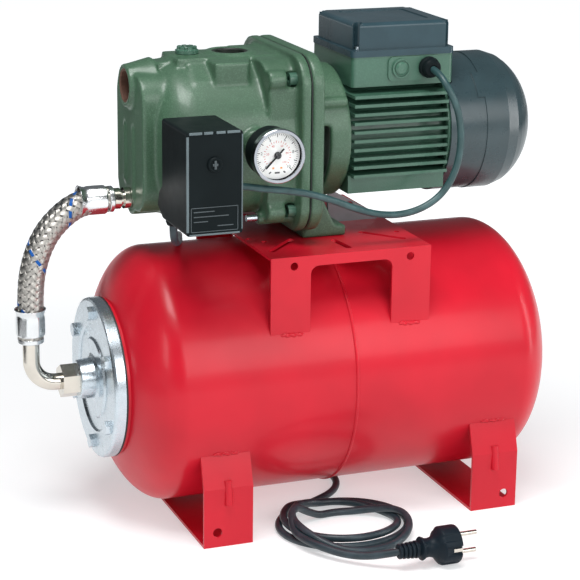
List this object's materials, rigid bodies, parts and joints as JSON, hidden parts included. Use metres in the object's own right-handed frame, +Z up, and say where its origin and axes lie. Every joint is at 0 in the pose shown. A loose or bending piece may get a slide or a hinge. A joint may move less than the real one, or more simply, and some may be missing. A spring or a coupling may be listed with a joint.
{
  "type": "shallow well jet pump",
  "caption": "Jet pump and finned motor on a horizontal pressure vessel, with pressure switch, gauge, braided hose and mains lead.",
  "frame": {"origin": "on the floor, under the middle of the set's box, with the mains cord, coil and plug left out", "axes": "+X along the vessel and motor axis towards the motor's fan, -Y towards the front with the gauge and switch, +Z up"},
  "size_m": [0.5916, 0.4183, 0.5175],
  "materials": {
    "red_paint": "gloss powder coat",
    "green_paint": "painted casting",
    "green_alloy": "painted aluminium casting",
    "zinc": "zinc plated",
    "steel": "machined",
    "nickel": "nickel plated brass",
    "braid": "woven stainless steel",
    "brass": "machined",
    "black_rubber": "matte",
    "black_plastic": "satin",
    "grey_cord": "matte",
    "white_plastic": "matte",
    "clear_glass": "clear",
    "copper": "enamelled copper wire",
    "dial": "printed dial"
  },
  "bodies": {
    "pump_set": {"tank_shell": "red_paint", "air_valve": "brass", "tank_membrane": "black_rubber", "tank_flange": "zinc", "flange_bolts": "zinc", "left_foot": "red_paint", "right_foot": "red_paint", "pump_bracket": "red_paint", "motor_stay": "zinc", "elbow_nut": "nickel", "elbow_pipe": "nickel", "hose_ferrules": "nickel", "braided_hose": "braid", "hose_nipple": "nickel", "pump_body": "green_paint", "casing_gasket": "black_rubber", "ejector": "black_plastic", "diffuser": "black_plastic", "seal_seat": "white_plastic", "motor_adapter": "green_paint", "casing_screws": "green_alloy", "pump_fasteners": "zinc", "motor_housing": "green_alloy", "stator_core": "steel", "stator_windings": "copper", "bearing_outer_races": "steel", "rear_end_shield": "green_alloy", "fan_cover": "black_plastic", "terminal_lid": "black_plastic", "lid_screws": "zinc", "terminal_block": "white_plastic", "run_capacitor": "white_plastic", "blanking_plug": "green_alloy", "switch_cover": "black_plastic", "cover_screw": "black_plastic", "switch_base": "black_plastic", "switch_springs": "steel", "switch_contacts": "black_plastic", "port_nipples": "brass", "gauge_case": "black_plastic", "gauge_bezel": "nickel", "gauge_glass": "clear_glass", "gauge_dial": "dial", "cable_glands": "black_plastic", "motor_lead": "grey_cord", "mains_lead": "black_rubber", "mains_coil": "black_rubber", "plug_body": "black_rubber", "plug_pins": "nickel"},
    "rotor": {"rotor_shaft": "steel", "rotor_core": "steel", "impeller": "brass", "seal_head": "black_rubber", "cooling_fan": "black_plastic", "bearing_inner_races": "steel"},
    "ball_sets": {"bearing_balls": "steel"},
    "needle": {"gauge_needle": "black_plastic"},
    "plunger": {"switch_plunger": "steel"},
    "lever": {"switch_lever": "steel"},
    "filler_plug": {"priming_plug": "green_alloy"}
  },
  "joints": [
    {"name": "rotor_spin", "type": "hinge", "parent": "pump_set", "child": "rotor", "pos_m": [0.0342, 0.0143, 0.4], "axis": [1, 0, 0], "continuous": true},
    {"name": "ball_orbit", "type": "hinge", "parent": "pump_set", "child": "ball_sets", "pos_m": [0.0342, 0.0143, 0.4], "axis": [1, 0, 0], "continuous": true},
    {"name": "needle_turn", "type": "hinge", "parent": "pump_set", "child": "needle", "pos_m": [-0.0672, -0.1329, 0.408], "axis": [0, 1, 0], "range_deg": [0, 270]},
    {"name": "plunger_slide", "type": "slide", "parent": "pump_set", "child": "plunger", "axis": [0, -1, 0], "range_m": [0, 0.0015]},
    {"name": "lever_swing", "type": "hinge", "parent": "pump_set", "child": "lever", "pos_m": [-0.1383, -0.0887, 0.36], "axis": [1, 0, 0], "range_deg": [0, 3.2]},
    {"name": "priming_plug_lift", "type": "slide", "parent": "pump_set", "child": "filler_plug", "axis": [0, 0, 1], "range_m": [0, 0.025]}
  ],
  "couplings": [
    {"joint": "ball_orbit", "follows": "rotor_spin", "ratio": 0.405},
    {"joint": "lever_swing", "follows": "plunger_slide", "rad_per_m": 35.714}
  ]
}
